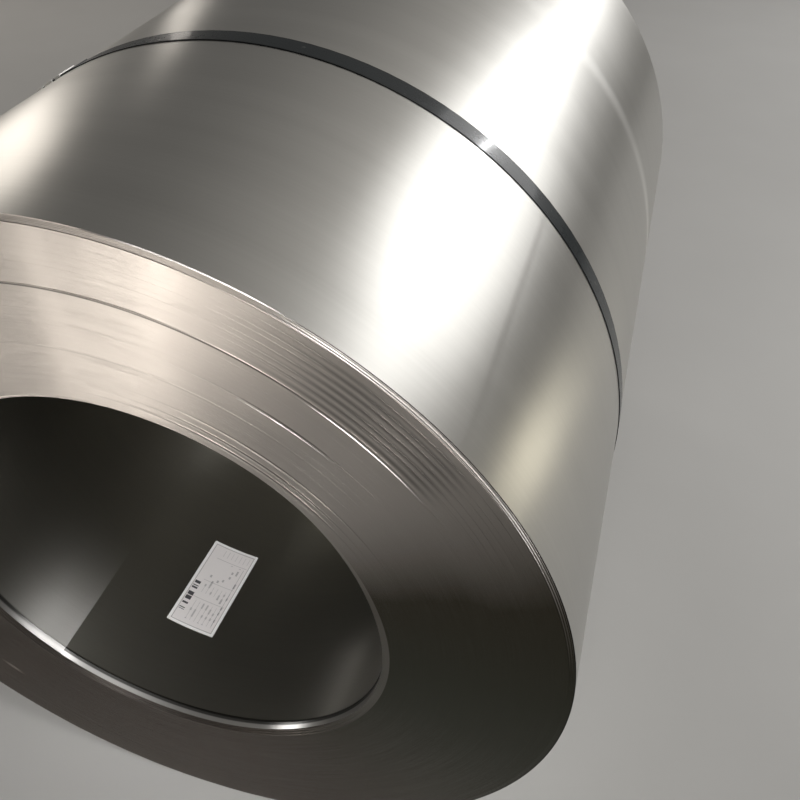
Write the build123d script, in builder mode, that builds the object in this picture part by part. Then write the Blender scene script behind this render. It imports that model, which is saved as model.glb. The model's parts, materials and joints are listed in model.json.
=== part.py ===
# Slit strip steel wound into a coil, lying on its side, with one steel strap around it,
# the strap's crimped seal, and a paper label on the bore wall.
# Millimetres. The bore runs along Y, the near end faces -Y and the floor is at Z = 0.
# Angles are about the bore, clockwise from the top as seen from the near end.
import os
from math import cos, degrees, radians, sin

from build123d import *

os.makedirs("parts", exist_ok=True)

# Strip and winding
sheet = 1.5            # thickness of the strip
strip_width = 1300.0   # width of the strip, so the length of every turn
bore_radius = 305.0    # inside of the innermost turn, left by a 610 mm mandrel
turns = 148            # turns from the bore to the outside

# The turns slipped along the bore as they were wound. Every turn has the same width,
# so what is set back at the near end stands out as far at the far end.
first_turns = 2        # turns at the bore that slipped the furthest
first_shift = 16.0
mouth_groups = 6       # groups of turns that step back around them
mouth_turns = 2        # turns in each group
mouth_step = 2.0
slip_depth = 73.0      # from the outside in to one turn that slipped out of line
slip_shift = 2.0
lip_turns = (3, 1, 2)  # groups of turns at the outside, and how far each is set back
lip_shifts = (1.5, 3.6, 3.0)

# Head of the strip: its square-cut end makes a step in the bore
head_angle = 219.8
head_run = 78.0        # degrees over which the turn under it closes in again

# Tail of the strip: its square-cut end makes a step on the outside
tail_angle = 236.0
tail_run = 60.0

# Steel strap, with its two ends lapped under the seal
strap_width = 32.0
strap_sheet = 0.9
strap_offset = 442.0   # near face of the pack to the strap's centre line
strap_gap = 0.3        # clearance between strap and coil
lap_start = -38.5
lap_end = -27.0        # cut end of the outer layer
lap_taper = 2.5        # degrees over which the outer layer comes down

# Crimped seal, a channel over the lapped ends
seal_angle = -32.6
seal_length = 50.0
seal_sheet = 1.0
seal_gap = 0.3         # clearance between seal and strap
crimp_spacing = 22.0
crimp_side = 5.0       # side of each diamond-shaped crimp cut

# Paper label on the bore wall, stuck on slightly askew
label_length = 167.0
label_width = 81.0
label_sheet = 0.3
label_offset = 133.0   # near face of the pack to the label's near edge
label_angle = 191.6
label_skew = 2.1
label_gap = 0.3        # clearance between label and bore wall

# Derived
outer_radius = bore_radius + turns * sheet
slip_radius = outer_radius - slip_depth
strap_inner = outer_radius + strap_gap
strap_outer = strap_inner + strap_sheet
lap_outer = strap_outer + strap_sheet
axis_height = strap_outer
pack_start = -(strip_width + first_shift) / 2
strap_middle = pack_start + strap_offset
coil_length = strip_width + first_shift
bore_axis = Axis((0, 0, axis_height), (0, 1, 0))


def at(angle, radius):
    """Point of a cross-section in the XZ plane, by its angle about the bore."""
    return (radius * sin(radians(angle)), axis_height + radius * cos(radians(angle)))


def tangent_plane(angle, radius, along):
    """Plane that touches a cylinder about the bore, X along the bore and Z outwards."""
    x, z = at(angle, radius)
    outwards = (sin(radians(angle)), 0, cos(radians(angle)))
    return Plane(origin=(x, along, z), x_dir=(0, 1, 0), z_dir=outwards)


def arc_block(start, end, inner, outer, near, length):
    """Curved block along the bore. Inner and outer give its radii at start, middle and end."""
    angles = (start, (start + end) / 2, end)
    with BuildPart() as block:
        with BuildSketch(Plane.XZ.offset(-near)):
            with BuildLine():
                outside = ThreePointArc(*(at(a, r) for a, r in zip(angles, outer)))
                inside = ThreePointArc(*(at(a, r) for a, r in zip(angles, inner)))
                Line(outside @ 0, inside @ 0)
                Line(outside @ 1, inside @ 1)
            make_face()
        extrude(amount=-length)
    return block.part


def closing_in(radius, deep_radius):
    """Radii at start, middle and end of a turn that closes in from one sheet's step."""
    return (deep_radius, (radius + deep_radius) / 2, radius)


def bore_wall(angle):
    """Radius of the bore wall, which steps out by one sheet before the head of the strip."""
    closed = head_angle - head_run
    return bore_radius + sheet * max(0, angle - closed) / head_run


def bands():
    """Bands of turns from the bore outwards: inner radius, outer radius, set-back."""
    rows = [(bore_radius, bore_radius + first_turns * sheet, first_shift)]
    for group in range(mouth_groups):
        inner = rows[-1][1]
        rows.append((inner, inner + mouth_turns * sheet, (mouth_groups - group) * mouth_step))
    rows.append((rows[-1][1], slip_radius, 0))
    rows.append((slip_radius, slip_radius + sheet, slip_shift))
    rows.append((rows[-1][1], outer_radius - sum(lip_turns) * sheet, 0))
    for count, shift in zip(lip_turns, lip_shifts):
        inner = rows[-1][1]
        rows.append((inner, inner + count * sheet, shift))
    return rows


def end_face(start):
    """Stepped line along one end of the coil, in the YZ plane, bore to outside."""
    points = []
    for inner, outer, shift in bands():
        points.append((start + shift, axis_height + inner))
        points.append((start + shift, axis_height + outer))
    return points


# Step in the bore, from the head of the strip back to where the turn closes in
head_step = bore_radius + sheet
bore_step = arc_block(
    head_angle, head_angle - head_run,
    (bore_radius - sheet,) * 3, closing_in(bore_radius, head_step),
    pack_start, coil_length,
)

# The same step on the outside, from the tail of the strip onwards
tail_step = outer_radius - sheet
outside_step = arc_block(
    tail_angle, tail_angle + tail_run,
    closing_in(outer_radius, tail_step), (outer_radius + sheet,) * 3,
    pack_start, coil_length,
)

# Coil: half section turned about the bore, less the steps of the strip's two ends
with BuildPart() as coil:
    with BuildSketch(Plane.YZ):
        with BuildLine():
            near_end = end_face(pack_start)
            far_end = end_face(pack_start + strip_width)
            Polyline(*near_end, *reversed(far_end), close=True)
        make_face()
    revolve(axis=bore_axis)
    add(bore_step, mode=Mode.SUBTRACT)
    add(outside_step, mode=Mode.SUBTRACT)

coil.part.label = "coil"
export_step(coil.part, "parts/coil.step")

# Strap: a flat band around the coil, doubled where its ends lap
lap = arc_block(
    lap_start, lap_end,
    (strap_inner,) * 3, (lap_outer,) * 3,
    strap_middle - strap_width / 2, strap_width,
)
taper = arc_block(
    lap_start, lap_start - lap_taper,
    (strap_inner,) * 3, closing_in(strap_outer, lap_outer),
    strap_middle - strap_width / 2, strap_width,
)
with BuildPart() as strap:
    with BuildSketch(Plane.XZ.offset(-(strap_middle - strap_width / 2))):
        with Locations((0, axis_height)):
            Circle(strap_outer)
            Circle(strap_inner, mode=Mode.SUBTRACT)
    extrude(amount=-strap_width)
    add(lap)
    add(taper)

strap.part.label = "strap"
export_step(strap.part, "parts/strap.step")

# Seal: a channel of sheet over the lapped strap, its sides cut by four crimps
seal_inner = lap_outer + seal_gap
seal_outer = seal_inner + seal_sheet
seal_half = degrees(seal_length / 2 / seal_outer)
channel_width = strap_width + 2 * seal_gap
seal_width = channel_width + 2 * seal_sheet
seal_block = arc_block(
    seal_angle - seal_half, seal_angle + seal_half,
    (strap_inner,) * 3, (seal_outer,) * 3,
    strap_middle - seal_width / 2, seal_width,
)
channel = arc_block(
    seal_angle - 2 * seal_half, seal_angle + 2 * seal_half,
    (outer_radius,) * 3, (seal_inner,) * 3,
    strap_middle - channel_width / 2, channel_width,
)
with BuildPart() as strap_seal:
    add(seal_block)
    add(channel, mode=Mode.SUBTRACT)
    with BuildSketch(tangent_plane(seal_angle, seal_outer, strap_middle)):
        with GridLocations(seal_width, crimp_spacing, 2, 2):
            Rectangle(crimp_side, crimp_side, rotation=45)
    extrude(amount=seal_outer - outer_radius, both=True, mode=Mode.SUBTRACT)

strap_seal.part.label = "strap_seal"
export_step(strap_seal.part, "parts/strap_seal.step")

# Label: a thin sheet that follows the step in the bore, trimmed askew
label_reach = degrees(label_width / bore_radius)
label_from = label_angle - label_reach
label_to = label_angle + label_reach
label_outer = [bore_wall(angle) - label_gap for angle in (label_from, label_angle, label_to)]
label_inner = [radius - label_sheet for radius in label_outer]
label_middle = pack_start + label_offset + label_length / 2
label_strip = arc_block(
    label_from, label_to, label_inner, label_outer,
    label_middle - label_length, 2 * label_length,
)
with BuildPart() as label:
    add(label_strip)
    with BuildSketch(tangent_plane(label_angle, bore_radius, label_middle)):
        Rectangle(label_length, label_width, rotation=label_skew)
    extrude(amount=label_width / 2, both=True, mode=Mode.INTERSECT)

label.part.label = "label"
export_step(label.part, "parts/label.step")
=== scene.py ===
# %% [markdown]
# # A coil of strip steel
# The object is one long steel strip wound into a coil that lies on its side, one steel strap with
# a crimped seal, and a paper label stuck inside the bore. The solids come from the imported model,
# and this script dresses them. Every object is in metres, the floor is at Z = 0, and the bore runs
# along Y with its near end at -Y. Angles about the bore are in degrees, clockwise from the top as
# seen from the near end.

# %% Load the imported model
import json
from functools import cached_property
from math import cos, degrees, pi, radians, sin, tan
import bmesh
import bpy
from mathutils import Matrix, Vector


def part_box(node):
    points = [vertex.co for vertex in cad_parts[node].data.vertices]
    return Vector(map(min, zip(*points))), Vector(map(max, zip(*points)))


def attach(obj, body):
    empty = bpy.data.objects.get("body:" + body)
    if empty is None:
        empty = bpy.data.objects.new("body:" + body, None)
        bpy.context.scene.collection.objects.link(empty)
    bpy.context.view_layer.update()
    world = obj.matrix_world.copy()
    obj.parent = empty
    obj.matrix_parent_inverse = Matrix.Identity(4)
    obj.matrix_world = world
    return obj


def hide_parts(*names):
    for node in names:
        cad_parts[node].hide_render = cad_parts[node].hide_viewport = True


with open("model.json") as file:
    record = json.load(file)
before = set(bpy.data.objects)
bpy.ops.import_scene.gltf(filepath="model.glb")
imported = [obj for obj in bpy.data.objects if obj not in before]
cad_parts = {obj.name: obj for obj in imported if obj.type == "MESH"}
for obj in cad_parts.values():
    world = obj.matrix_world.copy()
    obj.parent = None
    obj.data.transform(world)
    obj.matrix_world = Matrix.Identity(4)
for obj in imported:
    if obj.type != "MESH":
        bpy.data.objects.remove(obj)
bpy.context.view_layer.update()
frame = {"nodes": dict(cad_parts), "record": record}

# %% [markdown]
# ## Sizes
# The coil's own sizes are read from the frame where it has them: the strap's box gives the height of
# the axis, and the bore's mount gives its radius and the width of the strip. They could be typed in
# again, but then a changed model would no longer fit. The rest are the sizes that the coil was
# wound with, so that what is made here seats on the solids.

# %% Sizes of the coil
MM = 0.001
coil_low, coil_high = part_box("coil")
strap_low, strap_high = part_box("strap")
bore = frame["record"]["mounts"][0]["dims"]
AXIS_HEIGHT = (strap_low.z + strap_high.z) / 2
BORE_RADIUS = bore["r_mm"] * MM
STRIP_WIDTH = bore["length_mm"] * MM
SHEET = 1.5 * MM
TURN_COUNT = round((coil_high.z - AXIS_HEIGHT - BORE_RADIUS) / SHEET)
OUTER_RADIUS = BORE_RADIUS + TURN_COUNT * SHEET
NEAR_FACE = coil_low.y
HEAD_ANGLE = 219.8  # where the strip starts, in the bore
HEAD_RUN = 78.0  # over which the turn under its start closes in
TAIL_RUN = 60.0  # over which the outside steps down past the strip's end
print("axis", round(AXIS_HEIGHT, 4), "outer radius", round(OUTER_RADIUS, 4), "turns", TURN_COUNT)

# %% [markdown]
# ## Camera
# The photo looks down into the coil from above its near end, a little to the right. The place and
# angles could be found by eye, but the coil's round edges fix them better: a camera was fitted to
# them, so the lens is a normal one and nothing is shifted. The Standard view shows a colour as it is
# written.

# %% Camera
CAMERA_PLACE = Vector((0.4822, -1.1657, 1.4119))
CAMERA_PITCH = 41.85  # degrees down from level
CAMERA_TURN = 16.83  # degrees to the left
CAMERA_LENS = 38.29  # millimetres, on a sensor 36 wide
SENSOR_WIDTH = 36.0

camera_data = bpy.data.cameras.new("camera")
camera_data.lens = CAMERA_LENS
camera_data.sensor_width = SENSOR_WIDTH
camera = bpy.data.objects.new("camera", camera_data)
camera.location = CAMERA_PLACE
camera.rotation_euler = (radians(90 - CAMERA_PITCH), 0.0, radians(CAMERA_TURN))
bpy.context.scene.collection.objects.link(camera)
bpy.context.scene.camera = camera
bpy.context.scene.view_settings.view_transform = "Standard"
print("camera at", tuple(round(v, 3) for v in camera.location))

# %% [markdown]
# ## Node helper
# Node trees are easier to read as formulas. `Wire` wraps one output socket, so that `1 - mask * 0.5`
# adds its Math nodes by itself. `Tree.node` makes every other node from its type, its settings and
# what goes into its sockets. The nodes could be placed by hand in the editor, but a script can be
# read and changed. The same two classes serve for materials and for Geometry Nodes.


# %% Node helper
class Wire:
    """An output socket that Python's arithmetic works on."""

    def __init__(self, tree, socket):
        self.tree = tree
        self.socket = socket

    def math(self, operation, first, second=0.0, third=0.0):
        return self.tree.wire("ShaderNodeMath", {"operation": operation}, {0: first, 1: second, 2: third})

    def __add__(self, other):
        return self.math("ADD", self, other)

    def __radd__(self, other):
        return self.math("ADD", other, self)

    def __sub__(self, other):
        return self.math("SUBTRACT", self, other)

    def __rsub__(self, other):
        return self.math("SUBTRACT", other, self)

    def __mul__(self, other):
        return self.math("MULTIPLY", self, other)

    def __rmul__(self, other):
        return self.math("MULTIPLY", other, self)

    def __truediv__(self, other):
        return self.math("DIVIDE", self, other)

    def __mod__(self, other):
        return self.math("FLOORED_MODULO", self, other)

    def __pow__(self, other):
        return self.math("POWER", self, other)

    def __gt__(self, other):
        return self.math("GREATER_THAN", self, other)

    def __lt__(self, other):
        return self.math("LESS_THAN", self, other)

    def floor(self):
        return self.math("FLOOR", self)

    def absolute(self):
        return self.math("ABSOLUTE", self)

    def sine(self):
        return self.math("SINE", self)

    def cosine(self):
        return self.math("COSINE", self)

    def least(self, other):
        return self.math("MINIMUM", self, other)

    def most(self, other):
        return self.math("MAXIMUM", self, other)

    def clamp(self):
        return self.most(0.0).least(1.0)

    def ramp(self, low, high):
        """0 at low, 1 at high, straight between, for a low above or below high."""
        return ((self - low) / (high - low)).clamp()

    def eased(self):
        """The same rise from 0 to 1 with soft ends."""
        return self * self * (3 - 2 * self)

    def hump(self, middle, reach):
        """1 at the middle, falling smoothly to 0 at the reach on both sides."""
        return (1 - (self - middle).absolute() / reach).clamp().eased()

    def near_angle(self, middle, reach):
        """1 at an angle in degrees, falling smoothly to 0 at the reach on both sides."""
        return ((self - middle + 180.0) % 360.0 - 180.0).hump(0.0, reach)


class Tree:
    """A node tree, with one method that makes any node."""

    def __init__(self, nodes):
        self.nodes = nodes

    def node(self, kind, settings=None, inputs=None):
        """Adds a node of any kind: its settings first, then values and links for its sockets."""
        node = self.nodes.nodes.new(kind)
        for name, value in (settings or {}).items():
            setattr(node, name, value)
        for key, value in (inputs or {}).items():
            if isinstance(value, Wire):
                self.nodes.links.new(value.socket, node.inputs[key])
            else:
                node.inputs[key].default_value = value
        return node

    def wire(self, kind, settings=None, inputs=None, output=0):
        """The same, for a node of which one output is wanted."""
        return Wire(self, self.node(kind, settings, inputs).outputs[output])


print("node helper ready")

# %% [markdown]
# ## Materials read the coil's own directions
# Everything on a coil runs around its axis, so the patterns need three numbers for each point: its
# distance from the axis, its angle about it and its place along it. They come from Object
# coordinates, because every object here stays at the origin. The rolling lines and the slit edges
# are far finer than a pixel. They act as tiny grooves. The shader's own anisotropy could smear the
# light in the same way, but it needs a tangent, which an exported model loses. So the normal leans
# across the grooves by an amount that changes from line to line, and the light smears by itself.


# %% Shared material parts
GROOVES_PER_METRE = 50000.0
BLACK = (0.0, 0.0, 0.0)


class Finish(Tree):
    """A material with the coil's cylindrical coordinates."""

    def __init__(self, name, constants):
        self.material = bpy.data.materials.new(name)
        self.material.use_nodes = True
        super().__init__(self.material.node_tree)
        self.shader = self.nodes.nodes["Principled BSDF"]
        for socket, value in constants.items():
            self.shader.inputs[socket].default_value = value
        self.point = self.wire("ShaderNodeTexCoord", output="Object")
        parts = self.node("ShaderNodeSeparateXYZ", inputs={0: self.point})
        self.x = Wire(self, parts.outputs["X"])
        self.along = Wire(self, parts.outputs["Y"])
        self.height = Wire(self, parts.outputs["Z"]) - AXIS_HEIGHT

    @cached_property
    def radius(self):
        """Distance from the axis, made once for a material that asks for it."""
        return self.x.math("SQRT", self.x * self.x + self.height * self.height)

    @cached_property
    def angle(self):
        """Angle about the axis in degrees, from -180 to 180."""
        return self.x.math("ARCTAN2", self.x, self.height) * degrees(1)

    @cached_property
    def outwards(self):
        """The direction away from the axis."""
        return self.vector(self.x / self.radius, 0.0, self.height / self.radius)

    @cached_property
    def onwards(self):
        """The direction round the axis, clockwise."""
        return self.vector(self.height / self.radius, 0.0, 0 - self.x / self.radius)

    def feed(self, socket, wire):
        """Links something that changes over the surface to one of the shader's sockets."""
        self.nodes.links.new(wire.socket, self.shader.inputs[socket])

    def vector(self, x, y, z):
        return self.wire("ShaderNodeCombineXYZ", inputs={"X": x, "Y": y, "Z": z})

    def noise(self, vector, scale=1.0, detail=2.0, roughness=0.5):
        return self.wire(
            "ShaderNodeTexNoise", {"noise_dimensions": "3D"},
            {"Vector": vector, "Scale": scale, "Detail": detail, "Roughness": roughness},
        )

    def grooves(self, stretch):
        """Noise far finer than a pixel across the grooves, so that the light smears over them."""
        return self.noise(self.around(GROOVES_PER_METRE, stretch), detail=1.0)

    def around(self, frequency, stretch, shift=0.0):
        """Coordinates for noise that is fine across the grooves and long along them."""
        return self.vector(
            (self.radius + self.along) * frequency + shift,
            self.x / self.radius * stretch,
            self.height / self.radius * stretch,
        )

    def mix(self, factor, first, second):
        """A colour between two, each written as three numbers or worked out by nodes."""
        first, second = (color if isinstance(color, Wire) else (*color, 1.0) for color in (first, second))
        return self.wire(
            "ShaderNodeMix", {"data_type": "RGBA"},
            {"Factor": factor, "A": first, "B": second}, output="Result",
        )

    def shade(self, tone, color):
        """A colour made darker by a tone under 1."""
        return self.mix(tone, BLACK, color)

    def leaned(self, *leans):
        """The surface's normal, tilted towards each direction by its slope."""
        normal = self.wire("ShaderNodeNewGeometry", output="Normal")
        for direction, slope in leans:
            push = self.wire(
                "ShaderNodeVectorMath", {"operation": "SCALE"}, {"Vector": direction, "Scale": slope}
            )
            normal = self.wire("ShaderNodeVectorMath", {"operation": "ADD"}, {0: normal, 1: push})
        return self.wire("ShaderNodeVectorMath", {"operation": "NORMALIZE"}, {"Vector": normal})

    def sector(self, start, full, fading, end):
        """1 between two angles about the axis, rising from start and falling to end, in degrees."""
        turned = self.angle % 360.0
        return (turned.ramp(start, full) * turned.ramp(end, fading)).eased()


ALONG = (0.0, 1.0, 0.0)
print("directions ready")

# %% [markdown]
# ## The outside of the strip
# Cold-rolled strip is satin: the rolls leave faint lines along the strip, which run round the coil.
# A highlight is therefore soft along the coil and sharper around it. A slow swell of the sheet over
# the turns below makes the long reflections waver a little. Handling has left a pale rubbed arc
# towards the far end, and a faint straight line shows where something presses through from below.
# An image could hold all this, but noise stretched along the strip has no seam and no largest size.


# %% Wrap material
STRIP_COLOR = (0.60, 0.59, 0.56)
RUBBED_COLOR = (0.90, 0.89, 0.86)
RUBBED_PLACE = NEAR_FACE + 912 * MM
RUBBED_REACH = 34 * MM
RUBBED_ANGLE = 76.0
RUBBED_SPAN = 42.0
PRESSED_ANGLE = 46.9
PRESSED_SPAN = 0.9
PRESSED_FROM = -0.15
PRESSED_FULL = -0.25


def wrap_material():
    """Satin steel with rolling lines, a rubbed arc and a line pressed through from below."""
    steel = Finish("strip_outside", {"Metallic": 1.0})
    fine = steel.grooves(3.0)
    lines = steel.noise(steel.around(330.0, 0.7, 5.0), detail=1.0)
    bands = steel.noise(steel.around(24.0, 0.7, 9.0), detail=1.0)
    mottle = steel.noise(steel.point, scale=5.0, detail=3.0, roughness=0.55)
    ring = steel.along.hump(RUBBED_PLACE, RUBBED_REACH)
    rubbed = ring * steel.angle.near_angle(RUBBED_ANGLE, RUBBED_SPAN)
    tone = 0.80 + 0.06 * lines + 0.10 * bands + 0.10 * mottle
    steel.feed("Base Color", steel.shade(tone, steel.mix(rubbed, STRIP_COLOR, RUBBED_COLOR)))
    steel.feed("Roughness", 0.26 + 0.03 * mottle + 0.03 * bands + 0.05 * ring)
    swell = steel.noise(steel.point, scale=3.2, detail=1.0)
    waver = steel.noise(steel.vector(steel.x, steel.along * 0.3, steel.height), scale=4.0, detail=1.0)
    pressed = steel.angle.near_angle(PRESSED_ANGLE, PRESSED_SPAN)
    pressed = pressed * steel.along.ramp(PRESSED_FROM, PRESSED_FULL)
    across = (fine - 0.5) * 0.10 + (lines - 0.5) * 0.015 + (swell - 0.5) * 0.04
    around = (waver - 0.5) * 0.05 + pressed * 0.022
    steel.feed("Normal", steel.leaned((ALONG, across), (steel.onwards, around)))
    return steel.material


WRAP = wrap_material()
print("made", WRAP.name)

# %% [markdown]
# ## Marks on the slit edges
# Each end of the coil is the edge of the strip, seen 148 times over. A few turns slipped a little
# deeper than the rest, and the shade in their grooves is painted on as dark lines. Others were
# knocked while the coil was lifted: their edges are bent up and burnished, and they show as short
# bright lines. Near the outside some turns stand out in groups, as ridges. Each mark could be cut
# into the mesh, but most are thinner than a pixel, so they are listed here by radius and angle and
# drawn as masks.


# %% Marks on the edges
SLIPPED_TURNS = (
    # radius in mm, middle angle and reach in degrees, depth in mm
    (455, 10, 46, 1.6),
    (455, 190, 150, 0.2),
    (412, 33, 20, 1.0),
    (356, 36, 30, 0.9),
    (344, 32, 30, 0.9),
    (335, 30, 34, 0.9),
    (311.5, -10, 60, 0.9),
    (386, 10, 50, 0.25),
)
BURNISHED_EDGES = (
    # radius in mm, middle angle and reach in degrees, how far the edge is bent up
    (452.2, 42, 17, 1.3),
    (409.4, 33, 18, 0.8),
    (434.5, -136, 4, 0.8),
    (437.0, -136, 4, 0.8),
    (439.5, -136, 4, 0.8),
    (353.6, 34, 18, 0.7),
    (341.6, 30, 20, 0.6),
    (332.6, 28, 20, 0.6),
    (322.0, 36, 16, 0.6),
    (309.8, -10, 50, 0.7),
)
LINE_REACH = 1.6 * MM
RIDGE_PITCH = 8.2 * MM
RIDGE_LOW = 452 * MM
RIDGE_HIGH = 516 * MM
RIDGE_ROUND = (20.0, 36.0, 47.0, 53.0)  # start, full, fading and end, in degrees


def marked_lines(steel, marks):
    """Thin lines round the axis, each strongest at its middle angle."""
    lines = 0.0
    for radius, middle, reach, strength in marks:
        stretch = steel.angle.near_angle(middle, reach) * strength
        lines = steel.radius.hump(radius * MM, LINE_REACH) * stretch + lines
    return lines


def ridge_waves(steel):
    """A wave across the turns where groups of five or six stand out a little."""
    where = steel.radius.ramp(RIDGE_LOW, RIDGE_LOW + RIDGE_PITCH) * steel.radius.ramp(
        RIDGE_HIGH, RIDGE_HIGH - RIDGE_PITCH)
    wave = (steel.radius * (2 * pi / RIDGE_PITCH)).sine() * 0.5 + 0.5
    return wave * where * steel.sector(*RIDGE_ROUND)


print("marks:", len(SLIPPED_TURNS), "slipped turns,", len(BURNISHED_EDGES), "burnished edges")

# %% [markdown]
# ## The slit edges of the turns
# A slit edge is rounded on one side and torn on the other, so it throws light far up and down
# across the turns and hardly along them. That is part of why one part of the end is bright and
# another nearly black under the same lamps; painted shade darkens the lower right and the bottom
# further. The bare edge is bright and a little warm. The outermost turns make a lip of fine
# hairlines with a rim that is bright on the left, and painted shade darkens the lip on the left and
# the rim elsewhere. Every mask runs from 0 to 1 and is multiplied into the tone, so one material
# serves all the turns on both ends.


# %% Edge material
BARE_EDGE = (0.66, 0.62, 0.585)
# Painted shade: its colours below and to the right, and the angles that it covers
SHADE_BELOW = (0.086, 0.064, 0.046)
SHADE_RIGHT = (0.034, 0.035, 0.020)
SHADE_ROUND = (38.0, 76.0, 215.0, 330.0)
LIP_RADIUS = OUTER_RADIUS - 7.5 * MM
HAIRLINE_PITCH = 2.5 * MM
MOUTH_STEPS = BORE_RADIUS + 11 * MM
BENT_UP = (0.4, 0.0, 1.0)
MOST_BENT = 1.1  # where marks overlap, their slopes add up no further than this


def edge_material():
    """Slit edges with their marks, and painted shade over the lower right and the bottom."""
    steel = Finish("strip_edges", {"Metallic": 1.0})
    fine = steel.grooves(4.0)
    turns = steel.noise(steel.around(330.0, 1.2, 3.0), detail=2.0, roughness=0.65)
    bands = steel.noise(steel.around(70.0, 0.8, 7.0), detail=2.0)
    patches = steel.noise(steel.around(16.0, 1.6, 1.0), detail=3.0)

    # Where things are: which end, which side of the top, the lip, the rim and the steps of the mouth
    near_end = steel.along < 0.0
    left = steel.angle.ramp(32.0, 18.0) * steel.angle.ramp(-110.0, -80.0)
    right = steel.angle.ramp(20.0, 34.0) * steel.angle.ramp(84.0, 60.0)
    lip = steel.radius > LIP_RADIUS
    rim = steel.radius > OUTER_RADIUS - SHEET
    steps = steel.radius.ramp(MOUTH_STEPS + 0.5 * MM, MOUTH_STEPS - 0.5 * MM)

    # Painted shade as dark lines in the slipped grooves, the ridges, and bright edges that are bent up
    groove_shade = marked_lines(steel, SLIPPED_TURNS).clamp() * near_end
    ridges = ridge_waves(steel) * near_end
    burnished = marked_lines(steel, BURNISHED_EDGES) * near_end
    hairlines = ((steel.radius * (2 * pi / HAIRLINE_PITCH)).sine() + 0.4).clamp() * lip * (1 - rim)
    bent = burnished + rim * left * steel.angle.ramp(4.0, 13.0) + hairlines * right
    bent = bent.least(MOST_BENT)

    # Painted shade on the lower right and the bottom, lighter on the steps of the mouth, left off where
    # an edge is bent up
    film_and_painted_shade = steel.sector(*SHADE_ROUND) * (0.96 + 0.2 * patches) * (1 - 0.25 * steps)
    film_and_painted_shade = (film_and_painted_shade * (1 - 0.9 * bent)).clamp()
    painted_shade_color = steel.mix(steel.angle.near_angle(100.0, 75.0), SHADE_BELOW, SHADE_RIGHT)

    tone = 0.84 + 0.06 * turns + 0.05 * bands + 0.08 * patches
    # Painted shade: the slipped grooves are made darker
    tone = tone * (1 - 0.72 * groove_shade) * (1 - 0.50 * ridges)
    # Painted shade: the lip on the left and the outermost rim elsewhere are made darker
    tone = tone * (1 - 0.30 * lip * left * (1 - rim)) * (1 - 0.55 * rim * (1 - left))
    steel.feed("Base Color", steel.shade(tone.clamp(), steel.mix(film_and_painted_shade, BARE_EDGE, painted_shade_color)))
    steel.feed("Roughness", 0.26 + 0.08 * patches)
    slope = (fine - 0.5) * 1.7 + (turns - 0.5) * 0.02 + (bands - 0.5) * 0.02 + 0.10 * lip
    leans = (steel.outwards, slope), (BENT_UP, bent), (ALONG, steps * -0.9)
    steel.feed("Normal", steel.leaned(*leans))
    return steel.material


EDGES = edge_material()
print("made", EDGES.name)

# %% [markdown]
# ## The inside of the strip
# The bore shows the other side of the same strip, darker because it mostly mirrors itself. A thin
# film of oil has dried on it in clouds. Next to the head of the strip it is rougher, and a painted
# highlight makes it lighter towards the mouth. In the mouth the first turn is set back, so the wall
# of the next one shows in front of it, with its edge rolled over, and the gap behind it is painted
# dark as shade. The outside's material could be used again, but these marks belong to places that
# only the bore has, so it gets one of its own.


# %% Bore material
FILMED_INSIDE = (0.41, 0.395, 0.35)
# Painted highlight: the lighter colour beside the head of the strip
PAINTED_HIGHLIGHT_INSIDE = (0.76, 0.74, 0.71)
MOUTH_COLOR = (0.60, 0.585, 0.56)
# How far past the head the painted highlight reaches, and where it rises and fades
HEAD_BRIGHT = 32.0  # degrees that are clean past the head
HEAD_ROUND = (
    HEAD_ANGLE - 20.0, HEAD_ANGLE - 10.0,
    HEAD_ANGLE + 0.2 * HEAD_BRIGHT, HEAD_ANGLE + HEAD_BRIGHT,
)
HEAD_FROM = NEAR_FACE + 230 * MM
HEAD_FULL = NEAR_FACE + 30 * MM
MOUTH_WALL = NEAR_FACE + 15.9 * MM
# Painted shade: a dark band on the wall round the first turn's near edge
GAP_SHADE_PLACE = NEAR_FACE + 14.6 * MM
GAP_SHADE_REACH = 4.2 * MM
DIMMED_ANGLE = -108.0
DIMMED_SPAN = 26.0
ROLLED_EDGES = ((148.0, 16.0, 0.36), (-115.0, 18.0, 0.50))  # angle, reach and how far more


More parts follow.
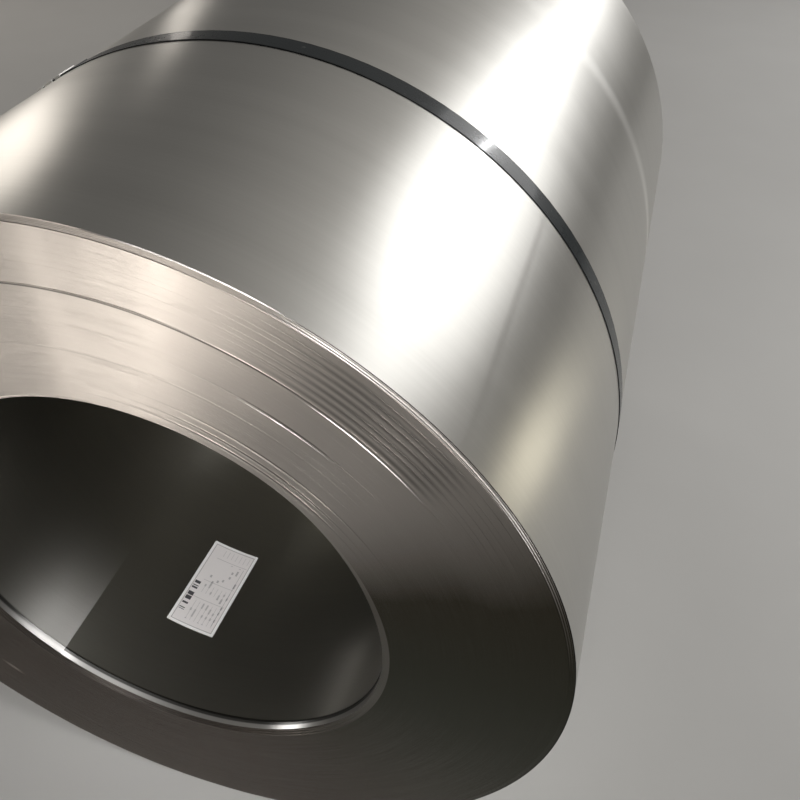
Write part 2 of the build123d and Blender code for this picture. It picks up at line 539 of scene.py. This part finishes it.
def bore_material():
    """Oiled steel, rougher with a painted highlight beside the head, and rolled over in the mouth."""
    steel = Finish("strip_inside", {"Metallic": 0.95})
    fine = steel.grooves(3.0)
    lines = steel.noise(steel.around(260.0, 1.5, 4.0), detail=2.0, roughness=0.5)
    film_and_painted_shade = steel.noise(steel.point, scale=3.0, detail=1.5)

    # Where things are: beside the head of the strip, with its painted highlight, in the mouth, and the
    # painted shade of the gap at its back
    head = (steel.angle % 360.0 > HEAD_ANGLE) * steel.sector(*HEAD_ROUND)
    head = head * steel.along.ramp(HEAD_FROM, HEAD_FULL).eased() * 0.85
    mouth = steel.along < MOUTH_WALL
    gap_shade = (steel.along.hump(GAP_SHADE_PLACE, GAP_SHADE_REACH) * (1 - head) * 2).clamp()
    dimmed = steel.angle.near_angle(DIMMED_ANGLE, DIMMED_SPAN) * mouth

    # Painted shade darkens the gap behind the first turn's edge
    tone = (0.76 + 0.06 * lines + 0.10 * film_and_painted_shade) * (1 - 0.8 * gap_shade) * (1 - 0.6 * dimmed)
    # Beside the head a painted highlight lightens the colour, strongest near the mouth
    color = steel.mix(mouth, steel.mix(head, FILMED_INSIDE, PAINTED_HIGHLIGHT_INSIDE), MOUTH_COLOR)
    steel.feed("Base Color", steel.shade(tone, color))
    steel.feed("Roughness", 0.275 + 0.04 * film_and_painted_shade + 0.18 * head)

    rolled = 0.28 + sum(more * steel.angle.near_angle(at, reach) for at, reach, more in ROLLED_EDGES)
    across = (fine - 0.5) * (0.55 + 0.65 * head - 0.40 * mouth) + (lines - 0.5) * 0.03 - rolled * mouth
    waver = steel.noise(steel.vector(steel.x, steel.along * 0.3, steel.height), scale=5.0, detail=1.0)
    steel.feed("Normal", steel.leaned((ALONG, across), (steel.onwards, (waver - 0.5) * 0.04)))
    return steel.material


BORE = bore_material()
print("made", BORE.name)

# %% [markdown]
# ## The wound turns
# The coil is one strip wound 148 times, and the turns slipped along the bore by different amounts as
# they were wound, so the ends are stepped. The turns could be drawn one by one by hand, but their
# shape follows a rule, which suits Geometry Nodes: a grid has one row for each edge of a group of
# turns and one column for each angle, and a formula rolls it up. Most groups are two turns, which is
# as fine as a view of the whole coil shows, and the turns of the lip are drawn one by one.

# %% Sizes of the turns
LIP_TURNS = 5
PAIRS = (TURN_COUNT - 1 - LIP_TURNS) // 2
GROUPS = PAIRS + LIP_TURNS
FIRST_RADIUS = BORE_RADIUS + SHEET
TURN_SIZES = {
    "Axis Height": AXIS_HEIGHT,
    "First Radius": FIRST_RADIUS,
    "Sheet": SHEET,
    "Strip Width": STRIP_WIDTH,
    "Near Face": NEAR_FACE,
    "Unevenness": 0.08 * MM,
    "Seed": 7.0,
}
print("pairs of turns", PAIRS, "and single turns", LIP_TURNS)

# %% [markdown]
# ## How far the turns slipped
# The turns at the bore slipped the furthest, most at the top and least to the right, which leaves a
# stepped mouth. The lip sits back a little too, some turns near the outside stand in ridges, and the
# marked lines lie deeper than their neighbours. All turns are uneven by a tenth of a millimetre or
# so besides. Every turn is as wide as the strip, so what is set back at the near end stands out at
# the far end, and one number for each group and angle gives both ends.


# %% How far the turns slipped
DEEPEST_SLIP = 16 * MM
MOUTH_TOP = -10.0
MOUTH_DEPTH = 5 * MM
MOUTH_DEEPER_ABOVE = 8.5 * MM
MOUTH_FLUSH = 4 * MM
FLUSH_ANGLE = 95.0
FLUSH_SPAN = 50.0
MOUTH_REACH = 19.5 * MM
MOUTH_REACH_BELOW = 9 * MM
LIP_SLIP = 0.8 * MM
LIP_SLIP_GROWS = 0.2 * MM
RIDGE_START = 52  # the group of turns from which the ridges start
RIDGE_TURNS = 2.7  # groups from one ridge to the next
RIDGE_SLIP = 0.22 * MM
RIDGE_ANGLE = 43.0
RIDGE_SPAN = 26.0
SLIP_SHARE = 0.3  # of a marked line's depth, because the mask already darkens it


def mouth_shape(angle):
    """How far the turns at the bore are set back, most at the top, and how far out that reaches."""
    from_top = ((angle - MOUTH_TOP + 180.0) % 360.0 - 180.0).absolute()
    top = from_top.ramp(100.0, 45.0).eased()
    depth = MOUTH_DEPTH + MOUTH_DEEPER_ABOVE * top
    depth = depth - MOUTH_FLUSH * angle.near_angle(FLUSH_ANGLE, FLUSH_SPAN)
    return depth, MOUTH_REACH_BELOW + (MOUTH_REACH - MOUTH_REACH_BELOW) * top


def uneven(tree, turn, angle, seed):
    """A slow wander round the axis and a jump from group to group, each drawn from the seed."""
    turned = angle * radians(1)
    place = tree.wire(
        "ShaderNodeCombineXYZ",
        inputs={"X": turn * 0.37 + seed, "Y": turned.cosine() * 1.2, "Z": turned.sine() * 1.2},
    )
    wander = tree.wire(
        "ShaderNodeTexNoise", inputs={"Vector": place, "Scale": 1.0, "Detail": 1.0}
    )
    scatter = tree.wire("ShaderNodeTexWhiteNoise", {"noise_dimensions": "1D"}, {"W": turn + seed})
    return wander * 1.2 + scatter * 0.8


def slipped(tree, turn, radius, angle, unevenness, seed):
    """How far each group of turns sits behind the face of the pack, in metres."""
    slip = uneven(tree, turn, angle, seed) * unevenness
    depth, reach = mouth_shape(angle)
    slip = slip + depth * ((FIRST_RADIUS + reach - radius) / reach).most(0.0)
    slip = slip + (turn > PAIRS - 0.5) * (LIP_SLIP + LIP_SLIP_GROWS * (turn - PAIRS))
    ridges = (turn * (2 * pi / RIDGE_TURNS)).sine() + 1
    slip = slip + ridges * RIDGE_SLIP * (turn > RIDGE_START) * angle.near_angle(RIDGE_ANGLE, RIDGE_SPAN)
    for mark_radius, middle, reach, depth in SLIPPED_TURNS:
        marked = turn.hump(round((mark_radius * MM - FIRST_RADIUS) / (2 * SHEET)), 1.0)
        slip = slip + marked * (depth * SLIP_SHARE * MM) * angle.near_angle(middle, reach)
    return slip.least(DEEPEST_SLIP)


print("the mouth is up to", round((MOUTH_DEPTH + MOUTH_DEEPER_ABOVE) / MM, 1), "mm deep")

# %% [markdown]
# ## Rows and columns of the grid
# The grid starts and ends at the head of the strip, so that the step there is sharp, and one column
# is doubled at the strip's tail for the same reason. Its rows run from the bore outwards on the near
# end and back inwards on the far end, and the last row meets the first, so one sheet closes round
# the whole coil. Two grids with a wall between them would need their edges matched by hand.


# %% Rows and columns of the grid
COLUMNS = 240
TAIL_COLUMN = 11
ROWS = 4 * GROUPS + 1
SPRUNG_ANGLE = 168.0
SPRUNG_REACH = 34.0
SPRUNG_DEPTH = 1.8 * MM
FIRST_ROOM = 0.1 * MM
TAIL_DROP = 0.97


def place_in_turn(column):
    """Column to a share of one turn from the head, and whether it is past the tail or closes up."""
    closing = column > COLUMNS + 1.5
    after_tail = column > TAIL_COLUMN + 0.5
    share = ((column - after_tail).least(COLUMNS) / COLUMNS) * (1 - closing)
    return share, after_tail, closing


def place_in_pack(row):
    """Row to its end of the coil, its group of turns, and which edge of the group it is."""
    near_end = row < 2 * GROUPS - 0.5
    step = row - (1 - near_end) * (2 * GROUPS)
    half = (step / 2).floor()
    odd = step - half * 2
    turn = near_end * half + (1 - near_end) * (GROUPS - 1 - half)
    edge = turn + near_end * odd + (1 - near_end) * (1 - odd)
    return near_end, turn, edge


def edge_radius(first, sheet, edge):
    """Two sheets for each pair of turns, and one for each turn of the lip."""
    return first + sheet * (2 * edge - (edge - PAIRS).most(0.0))


def first_room(share, edge, sheet):
    """Room that the innermost edge leaves for the first turn, which has sprung away at one place."""
    run = HEAD_RUN / 360
    sprung = share.hump((SPRUNG_ANGLE - HEAD_ANGLE + 360) / 360, SPRUNG_REACH / 360) * SPRUNG_DEPTH
    return (edge < 0.5) * (sheet * share.ramp(1 - run, 1.0) + sprung + FIRST_ROOM)


def tail_step(share, edge, sheet, after_tail, closing):
    """How far the outermost edge drops past the tail of the strip, and closes in again."""
    tail = TAIL_COLUMN / COLUMNS
    drop = (edge > GROUPS - 0.5) * after_tail * (1 - closing) * sheet * TAIL_DROP
    return drop * share.ramp(tail + TAIL_RUN / 360, tail)


print("grid of", COLUMNS + 3, "columns and", ROWS, "rows")

# %% [markdown]
# ## Finishes on the turns
# The steel is smooth round the axis and has a sharp corner at each step. Which finish a face gets
# follows from where it lies: far from both ends it is the outside or the bore wall, and the rest is
# slit edges. Painting faces by hand would have to be done again after each change.


# %% Finishes on the turns
SHARP_ANGLE = radians(30)
WALL_REACH = STRIP_WIDTH / 4
WALL_BETWEEN = FIRST_RADIUS + 10 * SHEET


def painted(tree, geometry, material, selection=True):
    """Puts a finish on the chosen faces."""
    inputs = {"Geometry": geometry, "Selection": selection, "Material": material}
    return tree.wire("GeometryNodeSetMaterial", inputs=inputs)


def finish_turns(tree, geometry, axis):
    """Smooth round the axis, sharp at each step, and three finishes by where a face lies."""
    bend = tree.wire("GeometryNodeInputMeshEdgeAngle")
    shaded = tree.wire("GeometryNodeSetShadeSmooth", inputs={"Geometry": geometry, "Shade Smooth": True})
    creased = tree.wire(
        "GeometryNodeSetShadeSmooth", {"domain": "EDGE"},
        {"Geometry": shaded, "Selection": bend > SHARP_ANGLE, "Shade Smooth": False},
    )
    middle = tree.node("ShaderNodeSeparateXYZ", inputs={0: tree.wire("GeometryNodeInputPosition")})
    x, y, z = (Wire(tree, socket) for socket in middle.outputs)
    height = z - axis
    radius = x.math("SQRT", x * x + height * height)
    wall = y.absolute() < WALL_REACH
    realized = tree.wire("GeometryNodeRealizeInstances", inputs={"Geometry": creased})
    edges = painted(tree, realized, EDGES)
    outside = painted(tree, edges, WRAP, wall * (radius > WALL_BETWEEN))
    inside = painted(tree, outside, BORE, wall * (radius < WALL_BETWEEN))
    tree.node("NodeGroupOutput", inputs={0: inside})


print("three finishes, split at a radius of", round(WALL_BETWEEN, 4))

# %% [markdown]
# ## Rolling up the grid
# The tree takes its sizes as named inputs, so a changed strip only changes numbers. Each point of
# the flat grid goes to its angle, radius and place along the bore, and the doubled points are
# welded. The modifier is run once and only its mesh is kept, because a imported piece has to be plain.


# %% Rolling up the grid
WELD = 0.002 * MM


def group_input(group, name):
    """A named number that goes into the tree, known to the modifier by its identifier."""
    return group.interface.new_socket(name, in_out="INPUT", socket_type="NodeSocketFloat").identifier


def turns_tree():
    """The tree that rolls up the grid, and the identifiers of its inputs."""
    group = bpy.data.node_groups.new("wound_turns", "GeometryNodeTree")
    identifiers = {name: group_input(group, name) for name in TURN_SIZES}
    group.interface.new_socket("Geometry", in_out="OUTPUT", socket_type="NodeSocketGeometry")
    tree = Tree(group)
    given = tree.node("NodeGroupInput")
    axis, first, sheet, width, near, unevenness, seed = (
        Wire(tree, given.outputs[name]) for name in TURN_SIZES
    )
    index = tree.wire("GeometryNodeInputIndex")
    column = (index / ROWS).floor()
    row = (index - column * ROWS) % (4 * GROUPS)
    share, after_tail, closing = place_in_turn(column)
    near_end, turn, edge = place_in_pack(row)

    angle = share * (2 * pi) + radians(HEAD_ANGLE)
    radius = edge_radius(first, sheet, edge) + first_room(share, edge, sheet)
    radius = radius - tail_step(share, edge, sheet, after_tail, closing)
    slip = slipped(tree, turn, edge_radius(first, sheet, turn), angle * degrees(1), unevenness, seed)
    along = near + slip + (1 - near_end) * width
    place = tree.wire(
        "ShaderNodeCombineXYZ",
        inputs={"X": radius * angle.sine(), "Y": along, "Z": axis + radius * angle.cosine()},
    )

    grid = tree.wire(
        "GeometryNodeMeshGrid", inputs={"Vertices X": COLUMNS + 3, "Vertices Y": ROWS}, output="Mesh"
    )
    rolled = tree.wire("GeometryNodeSetPosition", inputs={"Geometry": grid, "Position": place})
    merged = tree.wire("GeometryNodeMergeByDistance", inputs={"Geometry": rolled, "Distance": WELD})
    finish_turns(tree, merged, axis)
    return group, identifiers


def made_plain(name, group, identifiers, sizes):
    """Runs a Geometry Nodes tree once and keeps its result as a plain mesh."""
    seed_mesh = bpy.data.meshes.new(name + "_seed")
    source = bpy.data.objects.new(name + "_source", seed_mesh)
    bpy.context.scene.collection.objects.link(source)
    modifier = source.modifiers.new("shape", "NODES")
    modifier.node_group = group
    for size, identifier in identifiers.items():
        modifier[identifier] = float(sizes[size])
    bpy.context.view_layer.update()
    depsgraph = bpy.context.evaluated_depsgraph_get()
    mesh = bpy.data.meshes.new_from_object(source.evaluated_get(depsgraph))
    bpy.data.objects.remove(source)
    mesh.name = name
    while None in list(mesh.materials):
        mesh.materials.pop(index=list(mesh.materials).index(None))
    piece = bpy.data.objects.new(name, mesh)
    bpy.context.scene.collection.objects.link(piece)
    return piece


turns = made_plain("wound_turns", *turns_tree(), TURN_SIZES)
print("wound turns", len(turns.data.polygons), "faces", [m.name for m in turns.data.materials])

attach(turns, "root")
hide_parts("coil")

# %% [markdown]
# ## The innermost turn
# The strip's head is the first turn, and its square-cut end shows as a step that runs the whole
# length of the bore. The turn lies on the next one for most of the way round and has sprung away
# from it at the bottom of the near end, where a thin gap opens; the bore's finish paints shade along
# the turn's near edge. It could be a row of the same grid, but it has an edge of its own all round,
# so it is built as one curved sheet.


# %% Innermost turn
LAP_COLUMNS = 240
LAP_EDGE = NEAR_FACE + 16 * MM
LAP_THICKNESS = 0.98 * SHEET


def lap_radius(share):
    """Inner radius of the first turn, as a share of one turn from its head."""
    run = HEAD_RUN / 360
    return BORE_RADIUS + SHEET * min(1.0, max(0.0, (share - 1 + run) / run))


def sheet_mesh(name, columns, section, material):
    """A curved sheet, for which section(column) gives the four corners in order."""
    mesh = bmesh.new()
    rings = [[mesh.verts.new(corner) for corner in section(column)] for column in range(columns + 1)]
    for before, after in zip(rings, rings[1:]):
        for corner in range(4):
            turned = (corner + 1) % 4
            mesh.faces.new((before[corner], before[turned], after[turned], after[corner]))
    mesh.faces.new(rings[0])
    mesh.faces.new(reversed(rings[-1]))
    bmesh.ops.recalc_face_normals(mesh, faces=mesh.faces)
    for face in mesh.faces:
        face.smooth = True
    for edge in mesh.edges:
        if edge.calc_face_angle(0) > SHARP_ANGLE:
            edge.smooth = False
    data = bpy.data.meshes.new(name)
    mesh.to_mesh(data)
    mesh.free()
    data.materials.append(material)
    piece = bpy.data.objects.new(name, data)
    bpy.context.scene.collection.objects.link(piece)
    return piece


def around(angle, radius, along):
    """A place given by its angle about the axis, its distance from it and its place along it."""
    return Vector((radius * sin(radians(angle)), along, AXIS_HEIGHT + radius * cos(radians(angle))))


def lap_section(column):
    """The four corners of the first turn at one column: inner near, inner far, outer far, outer near."""
    share = column / LAP_COLUMNS
    angle = HEAD_ANGLE + 360 * share
    inner = lap_radius(share)
    outer = inner + LAP_THICKNESS
    far = LAP_EDGE + STRIP_WIDTH
    return (
        around(angle, inner, LAP_EDGE), around(angle, inner, far),
        around(angle, outer, far), around(angle, outer, LAP_EDGE),
    )


first_turn = sheet_mesh("first_turn", LAP_COLUMNS, lap_section, BORE)
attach(first_turn, "root")
print("first turn", len(first_turn.data.polygons), "faces")

# %% [markdown]
# ## Strap and seal
# The strap is painted blue-black with a hard gloss, worn through in a few small spots, and darker
# along its slit edges. The seal is zinc-coated, and the coating froze in flakes that each mirror a
# little differently. Both could be built again here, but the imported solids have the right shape, so
# they only get a finish in their material slots.


# %% Strap and seal
PAINT_COLORS = (0.005, 0.009, 0.011), (0.011, 0.017, 0.020)
PAINT_EDGE = (0.004, 0.005, 0.006)
WORN_THROUGH = (0.20, 0.20, 0.19)
ZINC_COLOR = (0.70, 0.69, 0.66)


def strap_material():
    """Dark glossy paint, darker and duller at the slit edges."""
    gloss = {"Specular IOR Level": 0.1, "Coat Weight": 0.34, "Coat Roughness": 0.09}
    paint = Finish("strap_paint", gloss)
    middle = (strap_low.y + strap_high.y) / 2
    across = (paint.along - middle).absolute() / (strap_high.y - middle)
    lines = paint.noise(paint.around(500.0, 3.0), detail=3.0)
    wear = paint.noise(paint.point, scale=60.0, detail=4.0, roughness=0.7)
    edge = across.ramp(0.80, 0.97)
    color = paint.mix(edge * 0.8, paint.mix(wear, *PAINT_COLORS), PAINT_EDGE)
    scuffed = wear.ramp(0.66, 0.72) * lines
    paint.feed("Base Color", paint.mix(scuffed, color, WORN_THROUGH))
    paint.feed("Roughness", 0.22 + 0.12 * wear + 0.10 * edge)
    paint.feed("Normal", paint.leaned((ALONG, (lines - 0.5) * 0.06)))
    return paint.material


def seal_material():
    """Zinc in small flakes, each a little lighter, rougher and more tilted than the next."""
    zinc = Finish("seal_zinc", {"Metallic": 1.0})
    flakes = zinc.wire(
        "ShaderNodeTexVoronoi", {"feature": "F1"}, {"Vector": zinc.point, "Scale": 260.0}, output="Color"
    )
    tilt = zinc.node("ShaderNodeSeparateXYZ", inputs={0: flakes})
    spangle = Wire(zinc, tilt.outputs["X"])
    grain = zinc.noise(zinc.point, scale=420.0, detail=3.0)
    zinc.feed("Base Color", zinc.shade(0.72 + 0.2 * spangle + 0.12 * grain, ZINC_COLOR))
    zinc.feed("Roughness", 0.26 + 0.2 * spangle)
    zinc.feed("Normal", zinc.leaned((ALONG, (spangle - 0.5) * 0.15), (zinc.onwards, (grain - 0.5) * 0.2)))
    return zinc.material


def dress(node, material):
    """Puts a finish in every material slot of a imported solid."""
    for slot in frame["nodes"][node].material_slots:
        slot.material = material


dress("strap", strap_material())
dress("strap_seal", seal_material())
print("dressed strap and seal")

# %% [markdown]
# ## Flat coordinates on the label
# The label is a flat sheet of paper stuck to a round wall, slightly askew. Its print is laid out
# flat, so the pattern needs the label's own length and width: the place along the bore and the
# length of arc around it, turned by the angle at which it was stuck on. A flattened UV map would do
# the same, but the solid has none.


# %% Flat coordinates on the label
LABEL_LENGTH = 167 * MM
LABEL_WIDTH = 81 * MM
LABEL_ANGLE = 191.6
LABEL_SKEW = radians(2.1)
label_low, label_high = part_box("label")
LABEL_MIDDLE = (label_low.y + label_high.y) / 2


def label_place(paper):
    """0 to 1 along the label's length, and 0 to 1 across its width."""
    turned = (paper.angle - LABEL_ANGLE + 540.0) % 360.0 - 180.0
    arc = turned * radians(1) * BORE_RADIUS
    place = paper.along - LABEL_MIDDLE
    length = (place * cos(LABEL_SKEW) - arc * sin(LABEL_SKEW)) / LABEL_LENGTH + 0.5
    width = 0.5 - (place * sin(LABEL_SKEW) + arc * cos(LABEL_SKEW)) / LABEL_WIDTH
    return length, width


print("label middle", round(LABEL_MIDDLE, 4))

# %% [markdown]
# ## Printed label
# The label is glossy paper with a printed frame, ruled rows and a strip of bars. What is printed is
# made up: bars of random widths and short dashes in the rows. An image would show its pixels up
# close, so each printed thing is a mask worked out from the flat coordinates, and the ink is the
# sum of them.


# %% What is printed
PRINTED_TO = (0.026, 0.974), (0.055, 0.945)
FRAMED_TO = (0.035, 0.965), (0.073, 0.927)
ROW_COUNT = 9
ROWS_FROM = 0.09
ROWS_REACH = 0.82
RULED_COLUMNS = (0.08, 0.30), (0.40, 0.50), (0.86, 0.94)
UPRIGHT_RULES = (0.33, 0.54, 0.82)


def inside(value, low, high):
    """1 between two values and 0 outside them."""
    return (value > low) * (value < high)


def line(value, at, half):
    """1 on a line, given by its middle and half its width."""
    return (value - at).absolute() < half


def outside_of(length, width, reach):
    """1 around a rectangle given by how far it reaches along and across."""
    return 1 - inside(length, *reach[0]) * inside(width, *reach[1])


def ruled(length, width, row, columns):
    """Rules in the rows, upright rules between the columns and one long rule below."""
    rules = line(row % 1.0, 0.5, 0.05) * columns * inside(width, 0.28, 0.90)
    upright = sum(line(length, at, 0.003) for at in UPRIGHT_RULES) * inside(width, 0.22, 0.9)
    long_rule = line(width, 0.86, 0.006) * inside(length, 0.10, 0.80)
    return rules * 0.30 + upright * 0.3 + long_rule * 0.35


def dashes(paper, length, width, row, columns):
    """Short dashes in the rows, in cells drawn at random, fainter where the rules are."""
    cell = paper.wire(
        "ShaderNodeTexWhiteNoise", {"noise_dimensions": "2D"},
        {"Vector": paper.vector((length * 34).floor(), row.floor() * 7.0, 0.0)},
    )
    marks = (cell > 0.72) * line(row % 1.0, 0.5, 0.22) * inside(width, 0.26, 0.9)
    return marks * inside(length, 0.08, 0.8) * (1 - columns * 0.4)


def bars(paper, length, width):
    """Upright bars, each a random run of thin stripes."""
    stripe = (length * 96).floor() + 3
    drawn = paper.wire("ShaderNodeTexWhiteNoise", {"noise_dimensions": "1D"}, {"W": stripe})
    return (drawn > 0.36) * inside(length, 0.15, 0.52) * inside(width, 0.085, 0.205)


print("rows on the label", ROW_COUNT)

# %% [markdown]
# ## Paper and ink
# The sheet is coated paper with a printed tint up to a white border. Ink lies over it in thin and
# full tones, a little rougher than the paper, and the fibres make both slightly uneven. Paper and
# ink could be two materials on cut faces, but a mask between two colours needs no cuts.


# %% Label material
PAPER_COLORS = (0.87, 0.83, 0.82), (0.97, 0.955, 0.94)
FIBRE_COLOR = (0.66, 0.63, 0.60)
INK_COLOR = (0.03, 0.03, 0.035)


def label_material():
    """The ink's share is worked out first, and lies over the paper."""
    paper = Finish("label_paper", {})
    length, width = label_place(paper)
    row = (width - ROWS_FROM) * ROW_COUNT / ROWS_REACH
    columns = sum(inside(length, *reach) for reach in RULED_COLUMNS)
    border = outside_of(length, width, PRINTED_TO)
    frame_line = outside_of(length, width, FRAMED_TO) * (1 - border)
    ink = frame_line * 0.35 + ruled(length, width, row, columns)
    ink = (ink + dashes(paper, length, width, row, columns) * 0.42).clamp()
    ink = ink.most(bars(paper, length, width) * 0.95)
    fibre = paper.noise(paper.point, scale=300.0, detail=3.0)
    sheet = paper.mix(fibre * 0.10, paper.mix(border, *PAPER_COLORS), FIBRE_COLOR)
    paper.feed("Base Color", paper.mix(ink, sheet, INK_COLOR))
    paper.feed("Roughness", 0.30 + 0.15 * fibre + 0.1 * ink)
    return paper.material


dress("label", label_material())
print("dressed label")

# %% [markdown]
# ## Floor
# A plain pale floor carries the coil's shadow and gives the steel something to mirror. One large
# square is enough, because it runs far past every view. A stain or a joint would show in the steel,
# so the floor has only a slow change of tone.

# %% Floor
FLOOR_HALF = 30.0
FLOOR_COLORS = (0.56, 0.55, 0.53), (0.61, 0.60, 0.58)


def floor_material():
    floor = Finish("floor", {"Roughness": 0.7})
    grain = floor.noise(floor.point, scale=3.0, detail=5.0)
    floor.feed("Base Color", floor.mix(grain, *FLOOR_COLORS))
    return floor.material


floor_mesh = bpy.data.meshes.new("floor")
corners = [(-FLOOR_HALF, -FLOOR_HALF, 0), (FLOOR_HALF, -FLOOR_HALF, 0),
           (FLOOR_HALF, FLOOR_HALF, 0), (-FLOOR_HALF, FLOOR_HALF, 0)]
floor_mesh.from_pydata(corners, [], [(0, 1, 2, 3)])
floor_mesh.materials.append(floor_material())
floor = bpy.data.objects.new("floor", floor_mesh)
bpy.context.scene.collection.objects.link(floor)
print("floor", 2 * FLOOR_HALF, "m wide")

# %% [markdown]
# ## Lamps
# Bare steel has hardly any colour of its own: what shows is the lamps that it mirrors. Each panel
# is placed by the direction in which the steel mirrors it. A wide key with a narrow bright core
# makes the long highlight along the top, two warm panels far to the left make the glow beyond it,
# and the small ones in front reach into the bore and along its mouth. Low cards show in the slit
# edges on the left and low on the right side. A panel's strength is given as radiance, so that a
# mirror right in front of it would show that number.


# %% Lamps
def panel(name, place, target, width, height, radiance, color=(1.0, 1.0, 1.0), spread=180.0):
    """A rectangular soft light. Radiance is what a mirror right in front of it would show."""
    # A narrowed lamp keeps its power, so the same radiance takes less of it
    half = radians(spread) / 2
    narrowing = 1 - half / tan(half)
    lamp = bpy.data.lights.new(name, "AREA")
    lamp.shape = "RECTANGLE"
    lamp.size = width
    lamp.size_y = height
    lamp.color = color
    lamp.spread = radians(spread)
    lamp.energy = radiance * narrowing * width * height * pi
    light = bpy.data.objects.new(name, lamp)
    light.location = place
    light.rotation_euler = (Vector(place) - Vector(target)).to_track_quat("Z", "Y").to_euler()
    light.visible_camera = False
    bpy.context.scene.collection.objects.link(light)
    return light


def seen_at(azimuth, elevation, distance):
    """A place in a direction from the middle of the coil, in degrees and metres."""
    level = distance * cos(radians(elevation))
    return (
        level * cos(radians(azimuth)),
        level * sin(radians(azimuth)),
        AXIS_HEIGHT + distance * sin(radians(elevation)),
    )


COIL_MIDDLE = (0.0, 0.0, AXIS_HEIGHT)
WARM = (1.0, 0.93, 0.85)
panel("key", seen_at(58.0, 24.0, 5.0), COIL_MIDDLE, 2.4, 2.3, 2.2)
panel("key_core", seen_at(64.6, 22.2, 4.95), COIL_MIDDLE, 0.05, 1.0, 70.0)
panel("left_wide", seen_at(143.0, 15.0, 4.5), COIL_MIDDLE, 0.6, 2.0, 2.4, WARM)
panel("left_narrow", seen_at(127.0, 9.5, 4.5), COIL_MIDDLE, 0.16, 1.2, 2.2, WARM)
panel("front_top", seen_at(-72.0, 44.0, 2.8), COIL_MIDDLE, 0.9, 0.9, 3.2)
panel("right_top", (2.1, 0.3, 2.5), (1.4, 0.5, 0.0), 1.3, 1.3, 4.6, spread=110.0)
panel("bore_lamp", (0.30, -1.55, 1.55), (-0.05, -0.45, 0.24), 0.5, 0.5, 28.0, spread=40.0)
panel("bore_side", (1.5, -0.98, 1.48), (-0.2, -0.6, 0.31), 0.45, 0.45, 24.0, spread=60.0)
panel("mouth_light", (-1.9, -1.5, 0.55), (-0.1, -0.65, 0.25), 0.3, 0.3, 14.0, spread=60.0)
panel("floor_card", (-0.85, -1.85, 0.03), (-0.45, -1.1, 1.0), 1.5, 0.9, 1.5, WARM, spread=100.0)
panel("floor_strip", (-0.66, -1.78, 0.04), (-0.35, -1.1, 1.0), 0.42, 1.3, 7.0, WARM, spread=100.0)
panel("right_card", (2.2, 1.25, 0.29), (0.44, -0.59, 0.82), 0.34, 0.5, 2.2, (1.0, 0.93, 0.74))

# %% [markdown]
# ## World
# The rest of the room is a dim, even grey with a soft glow behind the coil to the right. It keeps
# the parts of the steel that mirror no lamp from going black. A picture of a room would do this too,
# but it would show in the steel.

# %% World
ROOM_COLOR = (1.0, 0.97, 0.925, 1.0)
GLOW_DIRECTION = Vector((0.38, 0.80, 0.46))
GLOW_FOCUS = 8.0
ROOM_LEVEL = 0.14
GLOW_LEVEL = 0.45

world = bpy.data.worlds.new("studio")
world.use_nodes = True
bpy.context.scene.world = world
world_tree = Tree(world.node_tree)
looking = world_tree.wire("ShaderNodeTexCoord", output="Generated")
facing = world_tree.wire(
    "ShaderNodeVectorMath", {"operation": "DOT_PRODUCT"},
    {0: looking, 1: GLOW_DIRECTION.normalized()}, output="Value",
)
glow = facing.most(0.0) ** GLOW_FOCUS
background = world.node_tree.nodes["Background"]
background.inputs["Color"].default_value = ROOM_COLOR
world.node_tree.links.new((ROOM_LEVEL + GLOW_LEVEL * glow).socket, background.inputs["Strength"])
print("room level", ROOM_LEVEL, "and glow", GLOW_LEVEL)
